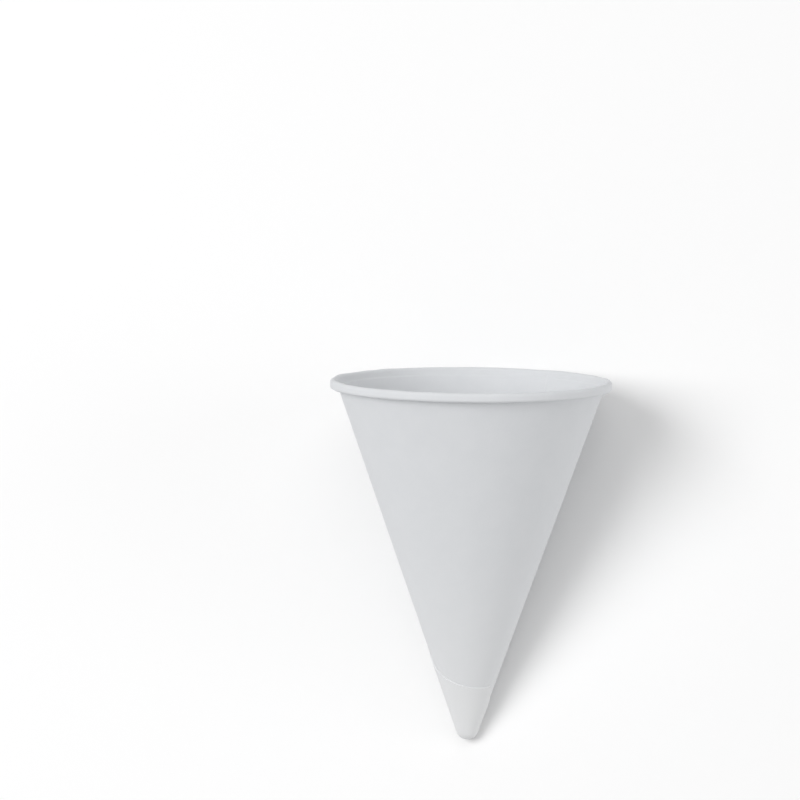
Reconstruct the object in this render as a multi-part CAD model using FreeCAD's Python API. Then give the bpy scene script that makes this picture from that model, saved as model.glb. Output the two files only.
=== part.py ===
import FreeCAD, Part
import math
import os

# A cone paper cup: one sheet of paper rolled into a cone, glued along its lap, with a blunt nose
# and a rim that is rolled outwards. Lengths are in millimetres and angles in degrees.

# The cup as a whole
rim_across = 73.0
cup_height = 94.4
paper = 0.2
nose_radius = 3.0

# The rolled rim, as seen in a cut through it
bead_height = 2.35
bead_width = 1.7
bead_corner = 0.7
tuck_radius = 0.6
tuck_length = 0.5
tuck_gap = 0.08
crease_depth = 2.05
crease_step = 0.1
crease_angle = 20.0

# How far the cup's own weight presses its bead and its nose flat where they rest on the table
bead_flat = 0.15
nose_flat = 0.25

# The sheet's edges. Turns go round the cup from its front, with the right-hand side positive.
# Reaches are measured on the sheet laid flat, from the point where the cone would end. At the loose
# corner the sheet's edges make an angle of 90 degrees and the slant.
lap_width = 9.0
lap_rise = 2.4
edge_reach = 22.15
edge_turn = 33.0
tail_reach = 9.53
tail_slant = 18.0

# How finely the sheet's edge is followed round the cone, how far short of the lap's rise the cut
# over the short edge stops, and the height from which the sheet's inner edge shows inside
edge_points = 61
spare_turn = 1.0
step_from = 8.1

UP = FreeCAD.Vector(0, 0, 1)
HERE = FreeCAD.Vector(0, 0, 0)

# Which of the sheet's moves make the whole of it, its nose, its wall, and the part of its rolled rim
# where a second ply lies inside the roll
WHOLE = slice(None)
NOSE = slice(0, 1)
WALL = slice(1, 2)
HIDDEN_RIM = slice(2, 8)

# Where the two plies lie from the first one's middle line, outwards. The second one reaches into the
# first, so that they join.
FIRST_PLY = (-paper / 2, paper / 2)
SECOND_PLY = (0, 1.5 * paper)

# Sizes worked out from the ones above. The nose has two plies, so the inner one's middle line lies
# one and a half plies inside its surface.
rim_radius = rim_across / 2
top_radius = bead_width / 2
inner_nose = nose_radius - 2 * paper
middle_nose = nose_radius - 1.5 * paper
roll_r = rim_radius - top_radius
roll_z = cup_height - top_radius
span_z = roll_z - nose_radius
span = math.hypot(roll_r, span_z)
lean = inner_nose + top_radius + crease_step
half_angle = math.degrees(math.atan2(roll_r, span_z) - math.asin(lean / span))
slope = math.radians(half_angle)
wall_run = math.sqrt(span ** 2 - lean ** 2)
tip_z = nose_radius - nose_radius / math.sin(slope)
ply_step = paper / math.cos(slope)


def rim_sizes():
    """Lengths of the straight runs in the rolled rim: band, side and underside."""
    crease_bend = crease_step / (2 * (1 - math.cos(math.radians(crease_angle))))
    crease_run = 2 * crease_bend * math.sin(math.radians(crease_angle))
    band = (crease_depth - top_radius * (1 - math.sin(slope))) / math.cos(slope) - crease_run / 2
    side = bead_height - top_radius - bead_corner
    start_r = roll_r - (top_radius - paper / 2) * math.cos(slope)
    start_z = roll_z + (top_radius - paper / 2) * math.sin(slope)
    tuck_z = cup_height - bead_height + tuck_radius
    away = tuck_radius + tuck_gap + paper / 2 + math.sin(slope) * (tuck_z - start_z)
    tuck_r = start_r + away / math.cos(slope)
    underside = rim_radius - bead_corner - tuck_r
    return crease_bend, crease_run, band, side, underside


def sheet_moves():
    """The middle line of the paper from the nose to its rolled end, as straights and bends.

    A straight is (length, 0) and a bend is (radius, turn), with a turn to the left positive.
    """
    crease_bend, crease_run, band, side, underside = rim_sizes()
    return [
        (middle_nose, 90 - half_angle),
        (wall_run - crease_run - band, 0),
        (crease_bend, -crease_angle),
        (crease_bend, crease_angle),
        (band, 0),
        (top_radius - paper / 2, half_angle - 180),
        (side, 0),
        (bead_corner - paper / 2, -90),
        (underside, 0),
        (tuck_radius - paper / 2, -90 - half_angle),
        (tuck_length, 0),
    ]


def walk(moves, right):
    """Edges of one face of the paper, which runs a distance to the right of the middle line."""
    place = FreeCAD.Vector(0, 0, nose_radius - middle_nose)
    heading = 0.0
    edges = []
    for size, turn in moves:
        ahead = FreeCAD.Vector(math.cos(heading), 0, math.sin(heading))
        beside = FreeCAD.Vector(math.sin(heading), 0, -math.cos(heading))
        start = place + beside * right
        if turn == 0:
            place = place + ahead * size
            edges.append(Part.LineSegment(start, place + beside * right).toShape())
            continue
        sense = math.copysign(1, turn)
        centre = place - beside * (sense * size)
        arm = beside * (sense * size + right)
        stops = []
        for share in (0.5, 1.0):
            angle = math.radians(turn) * share
            c, s = math.cos(angle), math.sin(angle)
            stops.append(centre + FreeCAD.Vector(arm.x * c - arm.z * s, 0, arm.x * s + arm.z * c))
        edges.append(Part.Arc(start, stops[0], stops[1]).toShape())
        heading += math.radians(turn)
        beside = FreeCAD.Vector(math.sin(heading), 0, -math.cos(heading))
        place = stops[1] - beside * right
    return edges


def ply_face(ply, stretch):
    """A cut through a ply, along a stretch of the sheet's moves."""
    moves = sheet_moves()
    inside = walk(moves, ply[0])[stretch]
    outside = walk(moves, ply[1])[stretch]
    foot = Part.LineSegment(outside[0].firstVertex().Point, inside[0].firstVertex().Point).toShape()
    end = Part.LineSegment(inside[-1].lastVertex().Point, outside[-1].lastVertex().Point).toShape()
    return Part.Face(Part.Wire(Part.__sortEdges__(inside + [end] + outside + [foot])))


def turned(face, first=0.0, last=360.0):
    """The solid that a cut face sweeps out between two turns."""
    face.rotate(HERE, UP, first - 90)
    return face.revolve(HERE, UP, last - first)


def around(turn, radius, height):
    """The point at a turn from the cup's front, a distance from its axis and a height over its nose."""
    angle = math.radians(turn)
    return FreeCAD.Vector(radius * math.sin(angle), -radius * math.cos(angle), height)


def wall_radius(height):
    """Radius of the outside face of the outer ply at a height over the nose."""
    return (height - tip_z) * math.tan(slope)


def turn_at(height):
    """Turn at which the sheet's long outer edge passes a height, on its way to the rim."""
    reach = (height - tip_z) / math.cos(slope)
    return edge_turn - math.degrees(math.acos(edge_reach / reach) / math.sin(slope))


def long_edge(turn):
    """Height of the sheet's long outer edge: a straight line on the flat sheet."""
    flat = math.radians(turn - edge_turn) * math.sin(slope)
    return tip_z + edge_reach / math.cos(flat) * math.cos(slope)


def short_edge(turn):
    """Height of the sheet's short edge, which slants away from a right angle to the long one."""
    flat = math.radians(turn - edge_turn) * math.sin(slope) + math.radians(tail_slant)
    return tip_z + tail_reach / math.sin(flat) * math.cos(slope)


def above(edge, first, last):
    """The space over one edge of the sheet, between two turns, from near the axis to past the rim."""
    turns = [first + (last - first) * i / (edge_points - 1) for i in range(edge_points)]
    near = nose_radius / 4
    past_rim = rim_across
    past_top = 2 * cup_height
    rails = []
    for radius in (near, past_rim):
        rail = Part.BSplineCurve()
        rail.interpolate(Points=[around(turn, radius, edge(turn)) for turn in turns], Parameters=turns)
        rails.append(rail)
    under = Part.BSplineSurface()
    under.buildFromPolesMultsKnots(
        [rail.getPoles() for rail in rails],
        (2, 2), rails[0].getMultiplicities(), (0, 1), rails[0].getKnots(),
        False, False, 1, rails[0].Degree)
    return under.toShape().extrude(UP * past_top)


def beyond(start, through, times):
    """The point on the line from one point through another, at some times the distance between them."""
    return start + (through - start) * times


def wedge(corners, low, high):
    """A three-sided space between two heights, with corners given as functions of the height."""
    ends = []
    for height in (low, high):
        points = [corner(height) for corner in corners]
        ends.append(Part.makePolygon(points + points[:1]))
    return Part.makeLoft(ends, True, True)


def rolled_sheet():
    """The cup upright on its nose: one ply all round, and a second one where the sheet overlaps."""
    slant = math.radians(tail_slant)
    corner = math.atan((tail_reach / edge_reach - math.sin(slant)) / math.cos(slant))
    corner_turn = edge_turn + math.degrees(corner / math.sin(slope))
    seam_turn = turn_at(cup_height) + 360
    lap_turn = seam_turn - math.degrees(lap_width / rim_radius)
    rise_turn = lap_turn - math.degrees(lap_rise / rim_radius)
    above_rim = cup_height + nose_radius

    def outer(turn, height):
        return around(turn, wall_radius(height), height)

    def inner(turn, height):
        return around(turn, wall_radius(height) - ply_step, height)

    def innermost(turn, height):
        return around(turn, wall_radius(height) - 2 * ply_step, height)

    single = turned(ply_face(FIRST_PLY, WHOLE))
    nose = turned(ply_face(SECOND_PLY, NOSE))
    rim = turned(ply_face(SECOND_PLY, HIDDEN_RIM), lap_turn, seam_turn)
    rise = wedge([
        lambda z: outer(lap_turn, z),
        lambda z: beyond(outer(lap_turn, z), inner(rise_turn, z), 3),
        lambda z: around(lap_turn, 2 * wall_radius(z), z),
    ], nose_radius, above_rim)
    wall = turned(ply_face(SECOND_PLY, WALL)).cut([
        above(long_edge, turn_at(above_rim), corner_turn),
        above(short_edge, corner_turn, rise_turn - spare_turn),
        rise,
    ])
    step_inside = wedge([
        lambda z: inner(lap_turn, z),
        lambda z: beyond(inner(lap_turn, z), innermost(rise_turn, z), 1.5),
        lambda z: around(lap_turn, wall_radius(z) / 2, z),
    ], step_from, cup_height - crease_depth)
    return single.fuse([nose, wall, rim]).cut(step_inside)


def rest_angle():
    """Slope of the cup's axis over the table when its bead and its nose both touch the table."""
    heel_r = rim_radius - bead_corner
    heel_z = cup_height - bead_height + bead_corner - nose_radius
    drop = (bead_corner - bead_flat) - (nose_radius - nose_flat)
    return math.degrees(math.atan2(heel_r, heel_z) + math.asin(drop / math.hypot(heel_r, heel_z)))


def laid_down(cup):
    """The cup at rest on its side, with its heavy lap underneath and its mouth towards +Y.

    What would reach under the table is cut off, which leaves the two small flat spots.
    """
    heavy = cup.CenterOfMass
    cup.rotate(HERE, UP, 180 - math.degrees(math.atan2(heavy.x, -heavy.y)))
    tilt = math.radians(rest_angle())
    cup.rotate(HERE, FreeCAD.Vector(1, 0, 0), math.degrees(tilt) - 90)
    back = nose_radius * math.cos(tilt) - nose_radius
    front = roll_r * math.sin(tilt) + roll_z * math.cos(tilt) + top_radius
    lift = nose_radius * (1 - math.sin(tilt)) - nose_flat
    cup.translate(FreeCAD.Vector(0, -(back + front) / 2, lift))
    side = 2 * cup_height
    return cup.cut(Part.makeBox(side, side, side, FreeCAD.Vector(-side / 2, -side / 2, -side)))


os.makedirs("parts", exist_ok=True)
cup = laid_down(rolled_sheet().Solids[0]).Solids[0]
cup.exportStep("parts/cup.step")
print("cup: %.0f cubic mm of paper, rests at %.1f degrees" % (cup.Volume, rest_angle()))
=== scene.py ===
"""The look of a cone paper cup that lies on its side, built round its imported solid.

The cup is one sheet of paper, rolled into a cone and curled over at the rim. It is made here upright,
on its tip, in millimetres, with its turns counted from the side that faces the camera, and is then laid
down as its solid lies. Two closed shells make it: the sheet's first turn with the rolled rim, and the
outer turn that the rest of the sheet makes over it. The camera looks down on the cup, so that it sees
the cup as the photograph does.
"""

import logging
import math
from dataclasses import dataclass, field
from enum import Enum

import bmesh
import bpy
import numpy as np
from mathutils import Matrix, Vector

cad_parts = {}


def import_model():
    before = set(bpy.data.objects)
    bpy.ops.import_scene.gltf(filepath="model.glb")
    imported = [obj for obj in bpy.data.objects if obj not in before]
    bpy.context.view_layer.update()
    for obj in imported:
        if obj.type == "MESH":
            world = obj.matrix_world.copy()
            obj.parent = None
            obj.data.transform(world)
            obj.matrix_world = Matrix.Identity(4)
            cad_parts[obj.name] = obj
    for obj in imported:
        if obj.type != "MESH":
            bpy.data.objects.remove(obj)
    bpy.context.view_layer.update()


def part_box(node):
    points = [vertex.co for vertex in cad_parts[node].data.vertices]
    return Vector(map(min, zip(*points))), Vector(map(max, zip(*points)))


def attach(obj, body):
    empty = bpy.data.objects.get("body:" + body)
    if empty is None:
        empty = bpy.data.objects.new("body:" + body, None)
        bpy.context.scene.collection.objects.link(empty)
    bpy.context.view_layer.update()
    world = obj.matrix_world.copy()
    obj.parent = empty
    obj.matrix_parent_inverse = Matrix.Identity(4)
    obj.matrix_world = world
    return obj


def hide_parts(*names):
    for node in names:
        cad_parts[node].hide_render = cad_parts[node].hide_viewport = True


MM = 0.001
SEED = 11
# Point attribute that lightens the paper: partly where plies lie on each other, partly painted light
# towards the nose
PLIES_AND_LIGHT = "layers"
# Even columns closer than this to an extra one, in degrees, are left out
CLEAR_TURN = 0.3

log = logging.getLogger("cone_cup")


class Finish(Enum):
    """The material slots of the cup's mesh, by their place in the list."""

    FACE = 0
    CUT_EDGE = 1


@dataclass(frozen=True)
class CupSizes:
    """The cup's sizes in millimetres and degrees.

    They are the same as its solid's, but for a crisper crease and a closer tuck.

    Turns go round the upright cup from the side that faces the camera, with the right-hand side
    positive. Reaches are measured on the flat sheet, from the point where the cone would end.
    """

    rim_across: float
    cup_height: float = 94.4
    paper: float = 0.2
    nose_radius: float = 3.0
    bead_height: float = 2.35
    bead_width: float = 1.7
    bead_corner: float = 0.7
    tuck_radius: float = 0.6
    tuck_length: float = 0.5
    tuck_gap: float = 0.03
    crease_depth: float = 2.05
    crease_step: float = 0.13
    crease_angle: float = 24.0
    bead_flat: float = 0.15
    nose_flat: float = 0.25
    lap_width: float = 9.0
    lap_rise: float = 2.4
    edge_reach: float = 22.15
    edge_turn: float = 33.0
    tail_reach: float = 9.53
    tail_slant: float = 18.0

    @property
    def rim_radius(self) -> float:
        """Outer radius of the rolled rim."""
        return self.rim_across / 2

    @property
    def top_radius(self) -> float:
        """Radius of the round top of the rolled rim."""
        return self.bead_width / 2

    @property
    def middle_nose(self) -> float:
        """Radius of the nose at the middle of the inner ply, under a second one."""
        return self.nose_radius - 1.5 * self.paper

    @property
    def roll(self) -> np.ndarray:
        """Radius and height of the centre of the rim's round top."""
        return np.array([self.rim_radius - self.top_radius, self.cup_height - self.top_radius])

    @property
    def lean(self) -> float:
        """How far the wall's line passes from the nose's centre and the roll's centre, added up."""
        return self.nose_radius - 2 * self.paper + self.top_radius + self.crease_step

    @property
    def span(self) -> float:
        """Distance between the centres of the nose and the roll."""
        return math.hypot(self.roll[0], self.roll[1] - self.nose_radius)

    @property
    def slope(self) -> float:
        """Angle between the wall and the cup's axis, in radians."""
        return math.atan2(self.roll[0], self.roll[1] - self.nose_radius) - math.asin(self.lean / self.span)

    @property
    def wall_run(self) -> float:
        """Length of the wall's line from the nose to the roll."""
        return math.sqrt(self.span**2 - self.lean**2)

    @property
    def tip_z(self) -> float:
        """Height of the point where the cone would end, under the nose."""
        return self.nose_radius - self.nose_radius / math.sin(self.slope)

    @property
    def lying_slope(self) -> float:
        """Slope of the cup's axis over the table when its bead and its nose rest on it, in radians."""
        heel_r = self.rim_radius - self.bead_corner
        heel_z = self.cup_height - self.bead_height + self.bead_corner - self.nose_radius
        drop = (self.bead_corner - self.bead_flat) - (self.nose_radius - self.nose_flat)
        return math.atan2(heel_r, heel_z) + math.asin(drop / math.hypot(heel_r, heel_z))


@dataclass(frozen=True)
class Lie:
    """How the upright cup is turned and laid on its side, as its solid lies.

    The cup is turned about its axis so that its heavy lap comes underneath, and is then laid down
    with its mouth towards +Y.
    """

    cup: CupSizes
    heavy_turn: float = 165.385

    @property
    def roll_over(self) -> np.ndarray:
        """The rotation as a matrix: a turn about the cup's axis, then the axis laid down."""
        turn = math.radians(180 - self.heavy_turn)
        tilt = self.cup.lying_slope
        about_axis = np.array([
            [math.cos(turn), -math.sin(turn), 0],
            [math.sin(turn), math.cos(turn), 0],
            [0, 0, 1],
        ])
        lay_down = np.array([
            [1, 0, 0],
            [0, math.sin(tilt), math.cos(tilt)],
            [0, -math.cos(tilt), math.sin(tilt)],
        ])
        return lay_down @ about_axis

    @property
    def shift(self) -> np.ndarray:
        """The move that centres the cup over the origin and rests it on the table."""
        tilt = self.cup.lying_slope
        nose = self.cup.nose_radius
        back = nose * math.cos(tilt) - nose
        front = self.cup.roll @ [math.sin(tilt), math.cos(tilt)] + self.cup.top_radius
        return np.array([0, -(back + front) / 2, nose * (1 - math.sin(tilt)) - self.cup.nose_flat])

    def place(self, points: np.ndarray) -> np.ndarray:
        """Lays points of the upright cup down.

        Args:
            points: Places on the upright cup, one row each, in millimetres.

        Returns:
            The same places on the lying cup, in metres.
        """
        return (points @ self.roll_over.T + self.shift) * MM

    def point(self, directions: np.ndarray) -> np.ndarray:
        """Turns directions of the upright cup as place turns its points."""
        return directions @ self.roll_over.T


@dataclass(frozen=True)
class Stations:
    """Points along the paper's middle line, in a cut through the upright cup.

    Attributes:
        place: Radius and height of each point.
        beside: Unit vector at right angles to the line, which points out of the cone's wall.
        run: Distance along the line from the middle of the nose.
    """

    place: np.ndarray
    beside: np.ndarray
    run: np.ndarray

    def face(self, distance: float | np.ndarray) -> np.ndarray:
        """The line moved sideways: each point goes the distance along its own side vector."""
        return self.place + np.reshape(distance, (-1, 1)) * self.beside


@dataclass(frozen=True)
class SheetPath:
    """The way that the sheet takes from the nose up the wall and round the rolled rim.

    The way is a chain of straights and bends. A bend of radius r turns its heading at a steady rate,
    so its points lie at r from a centre, which is beside its start.
    """

    cup: CupSizes
    bend_step: float = 11.0
    wall_steps: int = 44

    def moves(self) -> list[tuple[float, float, int]]:
        """The straights, as (length, 0, steps), and the bends, as (radius, turn, steps)."""
        cup = self.cup
        slope = math.degrees(cup.slope)
        crease = cup.crease_step / (2 * (1 - math.cos(math.radians(cup.crease_angle))))
        crease_run = 2 * crease * math.sin(math.radians(cup.crease_angle))
        below_top = cup.crease_depth - cup.top_radius * (1 - math.sin(cup.slope))
        band = below_top / math.cos(cup.slope) - crease_run / 2
        inwards = np.array([-math.cos(cup.slope), math.sin(cup.slope)])
        start = cup.roll + (cup.top_radius - cup.paper / 2) * inwards
        tuck_z = cup.cup_height - cup.bead_height + cup.tuck_radius
        away = cup.tuck_radius + cup.tuck_gap + cup.paper / 2 + math.sin(cup.slope) * (tuck_z - start[1])
        underside = cup.rim_radius - cup.bead_corner - start[0] - away / math.cos(cup.slope)
        side = cup.bead_height - cup.top_radius - cup.bead_corner

        def bend(radius: float, turn: float) -> tuple[float, float, int]:
            return radius, turn, max(3, math.ceil(abs(turn) / self.bend_step))

        return [
            bend(cup.middle_nose, 90 - slope),
            (cup.wall_run - crease_run - band, 0, self.wall_steps),
            bend(crease, -cup.crease_angle),
            bend(crease, cup.crease_angle),
            (band, 0, 3),
            bend(cup.top_radius - cup.paper / 2, slope - 180),
            (side, 0, 2),
            bend(cup.bead_corner - cup.paper / 2, -90),
            (underside, 0, 1),
            bend(cup.tuck_radius - cup.paper / 2, -90 - slope),
            (cup.tuck_length, 0, 1),
        ]

    def stations(self) -> Stations:
        """Follows the moves.

        Returns:
            The points, from the middle of the nose to the sheet's rolled end.
        """
        place = np.array([0.0, self.cup.nose_radius - self.cup.middle_nose])
        heading = 0.0
        run = 0.0
        places, besides, runs = [place[None]], [np.array([[0.0, -1.0]])], [np.array([0.0])]
        for size, turn, steps in self.moves():
            share = np.linspace(0, 1, steps + 1)[1:]
            headings = heading + math.radians(turn) * share
            beside = np.stack([np.sin(headings), -np.cos(headings)], -1)
            if turn == 0:
                points = place + size * share[:, None] * np.array([math.cos(heading), math.sin(heading)])
                length = size
            else:
                arm = math.copysign(size, turn)
                centre = place - arm * np.array([math.sin(heading), -math.cos(heading)])
                points = centre + arm * beside
                length = size * abs(math.radians(turn))
            places.append(points)
            besides.append(beside)
            runs.append(run + length * share)
            place, heading, run = points[-1], headings[-1], run + length
        return Stations(np.concatenate(places), np.concatenate(besides), np.concatenate(runs))

    @property
    def nose_run(self) -> float:
        """Distance along the middle line from the middle of the nose to the start of the wall."""
        return self.cup.middle_nose * (math.pi / 2 - self.cup.slope)

    @property
    def wall_end(self) -> float:
        """Distance along the middle line from the middle of the nose to the crease under the rim."""
        return self.nose_run + self.moves()[1][0]

    def along(self, run: np.ndarray) -> tuple[np.ndarray, np.ndarray]:
        """Points on the nose and the straight wall at given distances along the middle line.

        Up to the end of the nose the heading is the distance over the nose's radius. Past it the
        heading stays at the wall's.

        Args:
            run: Distances from the middle of the nose, of any shape.

        Returns:
            The points and their side vectors, with a last axis of (radius, height).
        """
        radius = self.cup.middle_nose
        heading = np.minimum(run, self.nose_run) / radius
        beside = np.stack([np.sin(heading), -np.cos(heading)], -1)
        ahead = np.stack([np.cos(heading), np.sin(heading)], -1)
        centre = np.array([0.0, self.cup.nose_radius])
        return centre + radius * beside + np.maximum(run - self.nose_run, 0)[..., None] * ahead, beside


@dataclass(frozen=True)
class SheetEdges:
    """Where the sheet's edges run on the upright cup.

    A straight edge of the flat sheet at a distance d from the cone's point has the reach d / cos(a)
    on the cone, where a is the flat sheet's angle from the edge's nearest point. The short edge has
    the reach d / sin(a + s), where s is its slant away from a right angle to the long one. A turn t
    about the cone's axis is an angle of t times the sine of its half angle on the flat sheet.
    """

    cup: CupSizes

    def height(self, reach: np.ndarray) -> np.ndarray:
        """Height on the cup of a reach from the cone's point."""
        return self.cup.tip_z + reach * math.cos(self.cup.slope)

    def flat_angle(self, turn: np.ndarray) -> np.ndarray:
        """Angle on the flat sheet from the long edge's nearest point, in radians."""
        return np.radians(turn - self.cup.edge_turn) * math.sin(self.cup.slope)

    def long_edge(self, turn: np.ndarray) -> np.ndarray:
        """Height of the long edge at each turn."""
        flat = np.clip(self.flat_angle(turn), -1.5, 1.5)
        return self.height(self.cup.edge_reach / np.cos(flat))

    def short_edge(self, turn: np.ndarray) -> np.ndarray:
        """Height of the short edge at each turn."""
        flat = self.flat_angle(turn) + math.radians(self.cup.tail_slant)
        return self.height(self.cup.tail_reach / np.sin(np.clip(flat, 0.01, math.pi / 2)))

    @property
    def corner_turn(self) -> float:
        """Turn of the loose corner where the two edges meet."""
        slant = math.radians(self.cup.tail_slant)
        corner = math.atan((self.cup.tail_reach / self.cup.edge_reach - math.sin(slant)) / math.cos(slant))
        return self.cup.edge_turn + math.degrees(corner / math.sin(self.cup.slope))

    @property
    def seam_turn(self) -> float:
        """Turn at which the long edge reaches the rim."""
        reach = (self.cup.cup_height - self.cup.tip_z) / math.cos(self.cup.slope)
        along = math.acos(self.cup.edge_reach / reach) / math.sin(self.cup.slope)
        return self.cup.edge_turn - math.degrees(along) + 360

    @property
    def lap_turn(self) -> float:
        """Turn at which the sheet begins, inside the cup."""
        return self.seam_turn - math.degrees(self.cup.lap_width / self.cup.rim_radius)

    @property
    def rise_turn(self) -> float:
        """Turn at which the outer turn starts to climb over the sheet's beginning."""
        return self.lap_turn - math.degrees(self.cup.lap_rise / self.cup.rim_radius)

    def top(self, turn: np.ndarray, rim_top: float) -> np.ndarray:
        """Height up to which the outer turn covers the wall.

        Args:
            turn: Turns from one lap to the next, in degrees.
            rim_top: Height that it never passes.

        Returns:
            The height of the long edge up to the loose corner and of the short edge past it.
        """
        edge = np.where(turn < self.corner_turn, self.long_edge(turn), self.short_edge(turn))
        return np.minimum(edge, rim_top)


@dataclass(frozen=True)
class Ripple:
    """The slow unevenness of thin paper.

    It is a sum of a few waves round the cup. Each is a cosine of a whole number of turns, with a
    phase that drifts on the way along the paper, and all fade out at both of its ends by the square
    of the sine of the way.
    """

    size: float = 0.075
    lowest: int = 2
    highest: int = 9
    drift: float = 1.1
    weakest: float = 0.6

    def lift(self, turn: np.ndarray, share: np.ndarray) -> np.ndarray:
        """How far the paper stands out of its true place.

        Args:
            turn: Turns round the cup in degrees.
            share: Share of the way along the paper, from 0 to 1.

        Returns:
            The distance in millimetres, in the shape that turn and share make together.
        """
        chance = np.random.default_rng(SEED)
        count = np.arange(self.lowest, self.highest + 1)
        phase = chance.uniform(0, 2 * np.pi, count.size)
        drift = chance.normal(0, self.drift, count.size)
        strength = chance.uniform(self.weakest, 1.0, count.size) * self.lowest / count
        angle = np.radians(turn)[..., None] * count + phase + drift * share[..., None]
        fade = np.sin(np.pi * np.clip(share, 0, 1)) ** 2
        return self.size * fade * (np.cos(angle) * strength).sum(-1)


WALL_RIPPLE = Ripple()
RIM_RIPPLE = Ripple(size=0.03, lowest=9, highest=41)


@dataclass
class Shell:
    """A closed surface as numbers.

    Attributes:
        points: Places on the upright cup, one row each.
        layers: How much lighter the paper is painted at each point, from 0 for one ply to 0.8 for the
            wound tip: partly for the plies that lie on each other, partly painted light that brightens the
            tip.
        faces: Four point numbers for each face.
        finish: Each face's material slot.
    """

    points: np.ndarray
    layers: np.ndarray
    faces: np.ndarray
    finish: np.ndarray


def tip_plies_and_light(run: np.ndarray, reach: float = 45.0, most: float = 0.8) -> np.ndarray:
    """Share of the lightening towards the nose, a bell curve over the distance from the middle of the
    nose: partly the wound tip's extra plies, partly painted light that brightens the tip.
    """
    return most * np.exp(-((run / reach) ** 2))


def around(turn: np.ndarray, radius: np.ndarray, height: np.ndarray) -> np.ndarray:
    """Points at turns, radii and heights about the upright cup's axis, x = r sin t and y = -r cos t."""
    angle = np.radians(turn)
    return np.stack(np.broadcast_arrays(radius * np.sin(angle), -radius * np.cos(angle), height), -1)


def grid_faces(index: np.ndarray) -> np.ndarray:
    """The faces between neighbouring columns and rows of a grid of point numbers."""
    corners = index[:-1, :-1], index[1:, :-1], index[1:, 1:], index[:-1, 1:]
    return np.stack([corner.ravel() for corner in corners], -1)


@dataclass
class FirstTurn:
    """The sheet's first turn: the whole cone, its nose and the rolled rim.

    A cut through the paper, down one face and up the other, is carried round the axis. Inside the
    lap's rise the inner face steps outwards by the paper's thickness, because the sheet begins there
    and the outer turn comes in to take its place.
    """

    cup: CupSizes
    path: SheetPath
    edges: SheetEdges
    ripple: Ripple
    rim_ripple: Ripple
    columns: int = 288
    step_gap: float = 0.25
    step_share: float = 0.7
    # Share of the lightening towards the nose on the first turn: partly its plies, partly painted light on
    # the tip
    tip_light_share: float = 0.62
    step_fade: float = 1.5
    step_foot: float = 8.1

    def turns(self) -> np.ndarray:
        """Turns of the columns, once round, with extra ones where the inner face steps."""
        even = np.arange(self.columns) * 360 / self.columns
        lap = self.edges.lap_turn
        step = np.array([self.edges.rise_turn, lap - self.step_gap, lap + self.step_gap])
        clear = np.abs(even[:, None] - step).min(1) > CLEAR_TURN
        return np.sort(np.concatenate([even[clear], step]))

    def step_out(self, turn: np.ndarray, height: np.ndarray) -> np.ndarray:
        """How far the inner face steps outwards.

        It grows evenly from nothing at the rise's start to most of the paper's thickness where the
        sheet begins, and fades out at the nose and at the crease under the rim.

        Args:
            turn: Turns of the columns.
            height: Heights of the rows.

        Returns:
            The distance for each column and row.
        """
        start, end = self.edges.rise_turn, self.edges.lap_turn
        share = np.where(turn < end, np.clip((turn - start) / (end - start), 0, 1), 0)
        top = self.cup.cup_height - self.cup.crease_depth
        fade = np.clip((height - self.step_foot) / self.step_fade, 0, 1)
        fade = fade * np.clip((top - height) / self.step_fade, 0, 1)
        return self.step_share * self.cup.paper * share * fade

    def build(self) -> Shell:
        """Carries the cut round the axis.

        Returns:
            The closed shell, with the sheet's two cut edges marked.
        """
        line = self.path.stations()
        rows = len(line.run)
        half = self.cup.paper / 2
        turn = self.turns()[:, None]
        share = (line.run - self.path.nose_run) / self.cup.wall_run
        wave = self.ripple.lift(turn, share[None])
        past_wall = (line.run - self.path.wall_end) / (line.run[-1] - self.path.wall_end)
        wave = wave + self.rim_ripple.lift(turn, past_wall[None])
        outer = line.place + (half + wave)[..., None] * line.beside
        inward = self.step_out(turn, line.place[:, 1][None]) - half + wave
        inner = (line.place + inward[..., None] * line.beside)[:, ::-1]
        cut = np.concatenate([outer, inner], 1)
        points = around(turn, cut[..., 0], cut[..., 1])
        index = np.arange(points.shape[0] * points.shape[1]).reshape(points.shape[:2])
        faces = grid_faces(np.concatenate([index, index[:1]]))
        column, row = np.divmod(np.arange(len(faces)), 2 * rows - 1)
        step_column = int(np.searchsorted(self.turns(), self.edges.lap_turn)) - 1
        on_end = row == rows - 1
        on_step = (column == step_column) & (row >= rows)
        finish = np.where(on_end | on_step, Finish.CUT_EDGE.value, Finish.FACE.value)
        run = np.concatenate([line.run, line.run[::-1]])
        # Lighter towards the nose: partly the wound tip's plies, partly painted light on the tip
        layers = np.broadcast_to(self.tip_light_share * tip_plies_and_light(run), points.shape[:2])
        return Shell(points.reshape(-1, 3), layers.ravel(), faces, finish)


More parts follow.
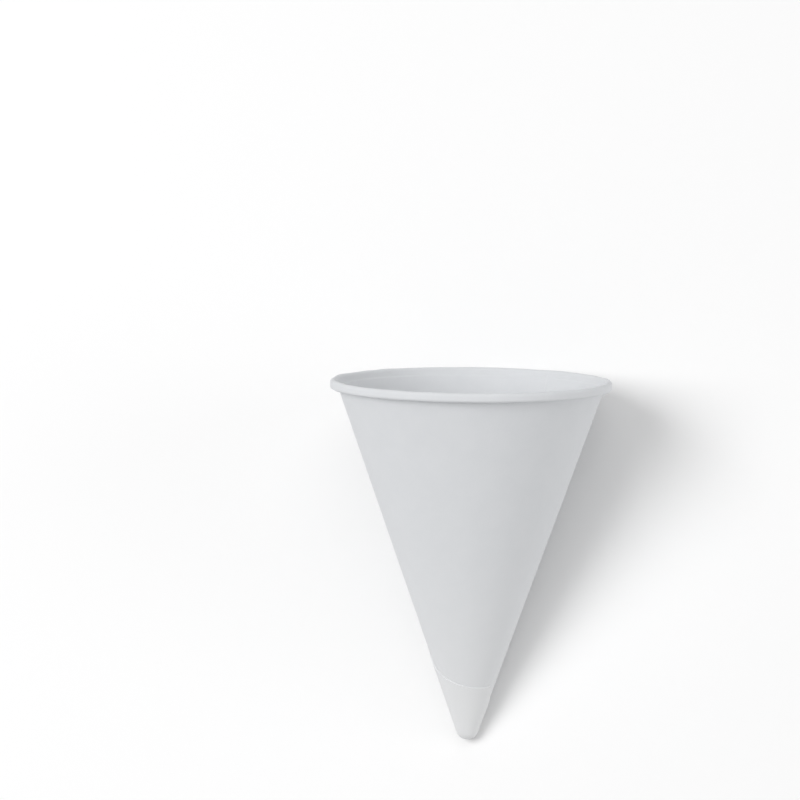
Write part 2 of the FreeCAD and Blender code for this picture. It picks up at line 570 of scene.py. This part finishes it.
@dataclass
class OuterTurn:
    """The rest of the sheet, which covers the nose and the wall up to the sheet's edges.

    Its grid follows the sheet: a column is a turn, and its rows run from the middle of the nose to
    the edge, so that the edge is a line of the grid. Its outer face comes up out of the first turn
    over the lap's rise, and near the edge it stands off a little, as paper does.
    """

    cup: CupSizes
    path: SheetPath
    edges: SheetEdges
    ripple: Ripple
    columns: int = 330
    nose_rows: int = 9
    wall_rows: int = 26
    crowding: float = 1.6
    curl: float = 0.05
    curl_reach: float = 2.2
    nose_blend: float = 2.5
    sunk: float = 0.03
    under_bead: float = 0.9
    second_ply: float = 0.12

    def turns(self) -> np.ndarray:
        """Turns of the columns from one rise to the next, with extra ones on the lap and the corner."""
        start, end = self.edges.rise_turn - 360, self.edges.rise_turn
        even = np.linspace(start, end, self.columns)
        extra = np.array([self.edges.lap_turn - 360, self.edges.corner_turn])
        clear = np.abs(even[:, None] - extra).min(1) > CLEAR_TURN
        return np.sort(np.concatenate([even[clear], extra]))

    def top_run(self, turn: np.ndarray) -> np.ndarray:
        """Distance along the middle line at which the turn ends: never short of the nose's end."""
        rim_top = self.cup.cup_height - self.cup.bead_height + self.under_bead
        height = self.edges.top(turn, rim_top)
        nose_end, _ = self.path.along(np.array(self.path.nose_run))
        return self.path.nose_run + np.maximum(height - nose_end[1], 0) / math.cos(self.cup.slope)

    def runs(self, turn: np.ndarray) -> np.ndarray:
        """Distances of the rows along each column.

        The nose has even rows. The wall's rows close up towards the edge: a share x of the way up
        becomes 1 - (1 - x) to the power of crowding.

        Args:
            turn: Turns of the columns.

        Returns:
            One row of distances for each column.
        """
        nose = np.linspace(0, self.path.nose_run, self.nose_rows)
        share = 1 - (1 - np.linspace(0, 1, self.wall_rows + 1)[1:]) ** self.crowding
        wall = self.path.nose_run + (self.top_run(turn) - self.path.nose_run)[:, None] * share
        return np.concatenate([np.broadcast_to(nose, (turn.size, nose.size)), wall], 1)

    def stand(self, turn: np.ndarray, run: np.ndarray) -> np.ndarray:
        """Distance of the outer face from the first turn's middle line.

        It is one and a half times the paper on the nose and past the rise. On the rise it grows
        evenly from just under the first turn's face. The edge's curl is added to it.

        Args:
            turn: Turns of the columns.
            run: Distances of the rows along each column.

        Returns:
            The distance for each column and row.
        """
        full = 1.5 * self.cup.paper
        start, end = self.edges.rise_turn - 360, self.edges.lap_turn - 360
        climb = np.clip((turn - start) / (end - start), 0, 1)[:, None]
        low = self.cup.paper / 2 - self.sunk
        on_wall = low + (full - low) * climb
        blend = np.clip((run - self.path.nose_run) / self.nose_blend, 0, 1)
        face = full + (on_wall - full) * blend
        to_edge = (self.top_run(turn)[:, None] - run) / self.curl_reach
        loose = self.edges.top(turn, np.inf) < self.cup.cup_height - 2 * self.cup.bead_height
        return face + self.curl * np.exp(-to_edge) * (loose[:, None] & (run > self.path.nose_run))

    def build(self) -> Shell:
        """Works out the outer face, the face under it and the cut edge between them.

        Returns:
            The closed shell, with the sheet's cut edge marked.
        """
        turn = self.turns()
        run = self.runs(turn)
        place, beside = self.path.along(run)
        wave = self.ripple.lift(turn[:, None], (run - self.path.nose_run) / self.cup.wall_run)
        stand = self.stand(turn, run) + wave
        under = np.minimum(self.cup.paper / 2 - self.sunk, self.stand(turn, run) - self.sunk / 2) + wave
        faces_of = [place + distance[..., None] * beside for distance in (stand, under)]
        outer, inner = [around(turn[:, None], face[..., 0], face[..., 1]) for face in faces_of]
        points = np.concatenate([outer, inner[:, ::-1]], 1)
        index = np.arange(points.shape[0] * points.shape[1]).reshape(points.shape[:2])
        faces = grid_faces(index)
        rows = run.shape[1]
        row = np.arange(len(faces)) % (2 * rows - 1)
        finish = np.where(row == rows - 1, Finish.CUT_EDGE.value, Finish.FACE.value)
        sides = []
        for ends in (index[0], index[-1]):
            over, below = ends[self.nose_rows - 1:rows], ends[rows:][::-1][self.nose_rows - 1:]
            sides.append(np.stack([over[:-1], over[1:], below[1:], below[:-1]], -1))
        side = np.concatenate(sides)
        finish = np.concatenate([finish, np.full(len(side), Finish.FACE.value)])
        # Lighter for the second ply everywhere, and more so towards the nose: partly the plies, partly
        # painted light on the tip
        layers = self.second_ply + (1 - self.second_ply) * tip_plies_and_light(run)
        layers = np.concatenate([layers, layers[:, ::-1]], 1)
        return Shell(points.reshape(-1, 3), layers.ravel(), np.concatenate([faces, side]), finish)


@dataclass
class PaperCup:
    """The whole cup as one piece: both shells, laid down, pressed flat where they rest, and dressed."""

    cup: CupSizes
    lie: Lie
    materials: list[bpy.types.Material] = field(default_factory=list)
    name: str = "paper_cup"
    weld: float = 1e-6
    sharp: float = 40.0

    def tidy(self, shell: Shell) -> bmesh.types.BMesh:
        """Lays a shell down, welds its seams and poles, and points its faces outwards.

        Args:
            shell: The shell of the upright cup.

        Returns:
            Its mesh, which the caller frees.
        """
        points = self.lie.place(shell.points)
        low, high = (np.array(corner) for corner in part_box("cup"))
        points = np.clip(points, low, high)
        data = bpy.data.meshes.new("shell")
        data.from_pydata(points, [], shell.faces, False)
        layers = data.attributes.new(PLIES_AND_LIGHT, "FLOAT", "POINT")
        layers.data.foreach_set("value", shell.layers.astype(np.float32))
        data.polygons.foreach_set("material_index", shell.finish.astype(np.int32))
        mesh = bmesh.new()
        mesh.from_mesh(data)
        bpy.data.meshes.remove(data)
        bmesh.ops.remove_doubles(mesh, verts=mesh.verts, dist=self.weld)
        bmesh.ops.dissolve_degenerate(mesh, edges=mesh.edges, dist=self.weld)
        bmesh.ops.recalc_face_normals(mesh, faces=mesh.faces)
        return mesh

    def build(self, shells: list[Shell]) -> bpy.types.Object:
        """Joins the shells into one object.

        Args:
            shells: The shells of the upright cup.

        Returns:
            The cup, which stands for its solid.
        """
        whole = bmesh.new()
        for shell in shells:
            part = self.tidy(shell)
            held = bpy.data.meshes.new("held")
            part.to_mesh(held)
            part.free()
            whole.from_mesh(held)
            bpy.data.meshes.remove(held)
        data = bpy.data.meshes.new(self.name)
        whole.to_mesh(data)
        open_edges = sum(not edge.is_manifold for edge in whole.edges)
        log.info("%s: %d faces, %d open edges", self.name, len(whole.faces), open_edges)
        whole.free()
        data.polygons.foreach_set("use_smooth", np.ones(len(data.polygons), bool))
        data.set_sharp_from_angle(angle=math.radians(self.sharp))
        for material in self.materials:
            data.materials.append(material)
        piece = bpy.data.objects.new(self.name, data)
        bpy.context.scene.collection.objects.link(piece)
        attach(piece, "root")
        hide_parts("cup")
        return piece


def node_at(tree: bpy.types.NodeTree, kind: str, **sockets: float | tuple) -> bpy.types.Node:
    """Adds a node and sets its inputs by name."""
    node = tree.nodes.new(kind)
    for name, value in sockets.items():
        node.inputs[name.replace("_", " ")].default_value = value
    return node


class PaperGrain:
    """The node group that both finishes share: the paper's cloudiness and its fibres.

    Clouds are a slow noise, which lightens and darkens the paper a little. Fibres are a fine noise
    that is drawn out across the sheet, and a finer even one is added to it for the tooth.
    """

    name = "paper_grain"
    tooth_share = 0.6
    rough_range = 0.12

    def __init__(self) -> None:
        """Builds the group with its sockets."""
        tree = bpy.data.node_groups.new(self.name, "ShaderNodeTree")
        self.tree = tree
        for label, kind in (
            ("Vector", "NodeSocketVector"),
            ("Light", "NodeSocketColor"),
            ("Dark", "NodeSocketColor"),
            ("Plied and Lit", "NodeSocketColor"),
            ("Plies and Light", "NodeSocketFloat"),
            ("Roughness", "NodeSocketFloat"),
        ):
            tree.interface.new_socket(name=label, in_out="INPUT", socket_type=kind)
        for label, kind in (
            ("Color", "NodeSocketColor"),
            ("Roughness", "NodeSocketFloat"),
            ("Height", "NodeSocketFloat"),
        ):
            tree.interface.new_socket(name=label, in_out="OUTPUT", socket_type=kind)
        self.wire()

    def wire(self) -> None:
        """Lays the nodes out and links them."""
        tree = self.tree
        source = tree.nodes.new("NodeGroupInput")
        sink = tree.nodes.new("NodeGroupOutput")
        clouds = node_at(tree, "ShaderNodeTexNoise", Scale=210.0, Detail=5.0, Roughness=0.62)
        drawn = node_at(tree, "ShaderNodeMapping", Rotation=(0.35, 0.2, 0.9), Scale=(1.0, 0.28, 0.6))
        fibres = node_at(tree, "ShaderNodeTexNoise", Scale=2600.0, Detail=4.0, Roughness=0.7)
        tooth = node_at(tree, "ShaderNodeTexNoise", Scale=5200.0, Detail=2.0, Roughness=0.5)
        shade = node_at(tree, "ShaderNodeMapRange", From_Min=0.32, From_Max=0.68)
        cloudy = tree.nodes.new("ShaderNodeMix")
        cloudy.data_type = "RGBA"
        # Mix towards the lighter colour where plies lie on each other and towards the nose: partly painted
        # light on the tip
        plies_and_light_mix = tree.nodes.new("ShaderNodeMix")
        plies_and_light_mix.data_type = "RGBA"
        height = node_at(tree, "ShaderNodeMath")
        height.operation = "MULTIPLY_ADD"
        height.inputs[1].default_value = self.tooth_share
        rough = node_at(tree, "ShaderNodeMath")
        rough.operation = "MULTIPLY_ADD"
        rough.inputs[1].default_value = self.rough_range
        link = tree.links.new
        link(source.outputs["Vector"], clouds.inputs["Vector"])
        link(source.outputs["Vector"], drawn.inputs["Vector"])
        link(drawn.outputs["Vector"], fibres.inputs["Vector"])
        link(source.outputs["Vector"], tooth.inputs["Vector"])
        link(clouds.outputs["Fac"], shade.inputs["Value"])
        link(shade.outputs["Result"], cloudy.inputs["Factor"])
        link(source.outputs["Dark"], cloudy.inputs["A"])
        link(source.outputs["Light"], cloudy.inputs["B"])
        link(source.outputs["Plies and Light"], plies_and_light_mix.inputs["Factor"])
        link(cloudy.outputs["Result"], plies_and_light_mix.inputs["A"])
        link(source.outputs["Plied and Lit"], plies_and_light_mix.inputs["B"])
        link(fibres.outputs["Fac"], height.inputs[2])
        link(tooth.outputs["Fac"], height.inputs[0])
        link(clouds.outputs["Fac"], rough.inputs[0])
        link(source.outputs["Roughness"], rough.inputs[2])
        link(plies_and_light_mix.outputs["Result"], sink.inputs["Color"])
        link(rough.outputs["Value"], sink.inputs["Roughness"])
        link(height.outputs["Value"], sink.inputs["Height"])


@dataclass(frozen=True)
class PaperFinish:
    """One finish of the paper.

    Attributes:
        name: The material's name.
        light: The colour of one ply where its fibres lie even.
        dark: Its colour in the cloudy spots.
        plied_and_lit: The lighter colour where many plies lie on each other, so that less light gets
            through, and towards the nose, where it is partly painted light that brightens the tip.
        roughness: The least roughness.
        relief: Depth of the fibres in metres.
    """

    name: str
    light: tuple[float, float, float, float]
    dark: tuple[float, float, float, float]
    plied_and_lit: tuple[float, float, float, float]
    roughness: float
    relief: float

    def material(self, grain: PaperGrain) -> bpy.types.Material:
        """Builds the material.

        Args:
            grain: The node group with the paper's clouds and fibres.

        Returns:
            The finished material.
        """
        material = bpy.data.materials.new(self.name)
        material.use_nodes = True
        tree = material.node_tree
        shader = tree.nodes["Principled BSDF"]
        where = tree.nodes.new("ShaderNodeTexCoord")
        group = tree.nodes.new("ShaderNodeGroup")
        group.node_tree = grain.tree
        group.inputs["Light"].default_value = self.light
        group.inputs["Dark"].default_value = self.dark
        group.inputs["Plied and Lit"].default_value = self.plied_and_lit
        group.inputs["Roughness"].default_value = self.roughness
        bump = node_at(tree, "ShaderNodeBump", Strength=0.5, Distance=self.relief)
        link = tree.links.new
        # Reads the lightening for stacked plies and the painted light on the tip
        plies_and_light_node = tree.nodes.new("ShaderNodeAttribute")
        plies_and_light_node.attribute_name = PLIES_AND_LIGHT
        link(where.outputs["Object"], group.inputs["Vector"])
        link(plies_and_light_node.outputs["Fac"], group.inputs["Plies and Light"])
        link(group.outputs["Color"], shader.inputs["Base Color"])
        link(group.outputs["Roughness"], shader.inputs["Roughness"])
        link(group.outputs["Height"], bump.inputs["Height"])
        link(bump.outputs["Normal"], shader.inputs["Normal"])
        shader.inputs["IOR"].default_value = 1.45
        shader.inputs["Specular IOR Level"].default_value = 0.35
        return material


FACE_FINISH = PaperFinish(
    "cup_paper",
    light=(0.701, 0.714, 0.732, 1),
    dark=(0.684, 0.698, 0.717, 1),
    # Lighter colour for stacked plies and towards the nose: partly painted light that brightens the tip
    plied_and_lit=(0.792, 0.797, 0.800, 1),
    roughness=0.62,
    relief=0.00004,
)
# The cut edges are painted a little lighter than the faces: partly the raw cut paper's own whiter fibres,
# partly a painted highlight along the edges where they catch the light
CUT_EDGE_AND_HIGHLIGHT = PaperFinish(
    "cut_paper_and_highlight",
    light=(0.722, 0.734, 0.750, 1),
    dark=(0.700, 0.713, 0.731, 1),
    plied_and_lit=(0.830, 0.835, 0.840, 1),
    roughness=0.8,
    relief=0.00006,
)


@dataclass(frozen=True)
class SoftLight:
    """A large soft lamp over the table.

    Attributes:
        name: The lamp's name.
        place: Where it hangs, in metres.
        across: The length of its square's side, in metres.
        power: Its power in watts.
        colour: Its colour.
    """

    name: str
    place: tuple[float, float, float]
    across: float
    power: float
    colour: tuple[float, float, float] = (1.0, 1.0, 1.0)

    def hang(self) -> bpy.types.Object:
        """Hangs the lamp, turned towards the cup."""
        lamp = bpy.data.lights.new(self.name, "AREA")
        lamp.shape = "SQUARE"
        lamp.size = self.across
        lamp.energy = self.power
        lamp.color = self.colour
        hung = bpy.data.objects.new(self.name, lamp)
        hung.location = self.place
        aim = Vector((0, 0, 0.03)) - Vector(self.place)
        hung.rotation_euler = aim.to_track_quat("-Z", "Y").to_euler()
        bpy.context.scene.collection.objects.link(hung)
        return hung


@dataclass(frozen=True)
class Studio:
    """The pale floor and the soft light over it."""

    floor_half: float = 2.5
    floor_colour: tuple[float, float, float, float] = (0.93, 0.93, 0.93, 1)
    floor_roughness: float = 0.9
    sky: tuple[float, float, float, float] = (1.0, 1.0, 1.0, 1)
    sky_strength: float = 0.43
    lights: tuple[SoftLight, ...] = (
        SoftLight("high_left", (-0.676, 0.0, 1.45), 0.9, 14.5),
        SoftLight("high_back", (0.338, 0.586, 1.45), 0.9, 3.3),
        SoftLight("low_right", (1.545, 0.0, 0.414), 0.9, 4.7),
    )

    def build(self) -> None:
        """Lays the floor, hangs the lights and sets the even light from all round."""
        half = self.floor_half
        mesh = bpy.data.meshes.new("floor")
        corners = [(-half, -half, 0), (half, -half, 0), (half, half, 0), (-half, half, 0)]
        mesh.from_pydata(corners, [], [(0, 1, 2, 3)])
        floor = bpy.data.objects.new("floor", mesh)
        bpy.context.scene.collection.objects.link(floor)
        material = bpy.data.materials.new("pale_floor")
        material.use_nodes = True
        shader = material.node_tree.nodes["Principled BSDF"]
        shader.inputs["Base Color"].default_value = self.floor_colour
        shader.inputs["Roughness"].default_value = self.floor_roughness
        shader.inputs["Specular IOR Level"].default_value = 0.1
        mesh.materials.append(material)
        for light in self.lights:
            light.hang()
        world = bpy.data.worlds.new("even_light")
        world.use_nodes = True
        world.node_tree.nodes["Background"].inputs["Color"].default_value = self.sky
        world.node_tree.nodes["Background"].inputs["Strength"].default_value = self.sky_strength
        bpy.context.scene.world = world
        bpy.context.scene.view_settings.view_transform = "Standard"


@dataclass(frozen=True)
class PhotoView:
    """The photograph's camera, found from the cup's outline, and laid down with the cup.

    It first stands in front of the upright cup, a little above it, and looks at a point on its axis.
    Then it is turned sideways, upwards and about its own line of sight.

    Attributes:
        look_at: Height of the point on the axis over the nose, in millimetres.
        distance: Distance from that point in millimetres.
        above: Angle over the mouth's plane in degrees.
        aside: Turn towards the right in degrees.
        upwards: Turn upwards in degrees.
        about: Turn about the line of sight in degrees.
        lens: Focal length in millimetres, on a sensor 36 mm wide.
    """

    look_at: float = 40.58
    distance: float = 909.866
    above: float = 8.807
    aside: float = -1.164
    upwards: float = 3.030
    about: float = 0.694
    lens: float = 157.07

    def build(self, lie: Lie) -> bpy.types.Object:
        """Sets the camera up.

        Args:
            lie: How the cup is laid down.

        Returns:
            The camera.
        """
        above, aside, upwards, about = np.radians([self.above, self.aside, self.upwards, self.about])
        back = np.array([0, -math.cos(above), math.sin(above)])
        place = np.array([0, 0, self.look_at]) + self.distance * back
        ahead = -back
        right = np.array([1.0, 0, 0])
        up = np.cross(right, ahead)
        ahead = math.cos(aside) * ahead + math.sin(aside) * right
        right = np.cross(ahead, up)
        ahead = math.cos(upwards) * ahead + math.sin(upwards) * up
        up = np.cross(right, ahead)
        right = math.cos(about) * right + math.sin(about) * up
        up = np.cross(right, ahead)
        axes = lie.point(np.stack([right, up, -ahead]))
        data = bpy.data.cameras.new("photo_view")
        data.sensor_width = 36.0
        data.lens = self.lens
        data.clip_start = 0.01
        camera = bpy.data.objects.new("photo_view", data)
        turn = Matrix([list(row) for row in axes.T]).to_4x4()
        camera.matrix_world = Matrix.Translation(Vector(lie.place(place[None])[0])) @ turn
        bpy.context.scene.collection.objects.link(camera)
        bpy.context.scene.camera = camera
        return camera


def corners(box: tuple) -> list[list[float]]:
    """A box as plain lists of numbers."""
    return [[round(float(value), 6) for value in corner] for corner in box]


def main() -> None:
    """Builds the camera, the cup and the studio."""
    logging.basicConfig(level=logging.INFO, format="%(message)s")
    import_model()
    low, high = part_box("cup")
    cup = CupSizes(rim_across=(high.x - low.x) / MM)
    lie = Lie(cup)
    PhotoView().build(lie)
    log.info("camera: set at the photograph's angle")
    path = SheetPath(cup)
    edges = SheetEdges(cup)
    shells = [
        FirstTurn(cup, path, edges, WALL_RIPPLE, RIM_RIPPLE).build(),
        OuterTurn(cup, path, edges, WALL_RIPPLE).build(),
    ]
    grain = PaperGrain()
    PaperCup(cup, lie, [FACE_FINISH.material(grain), CUT_EDGE_AND_HIGHLIGHT.material(grain)]).build(shells)
    Studio().build()
    log.info("studio: floor and lights")


if __name__ == "__main__":
    main()
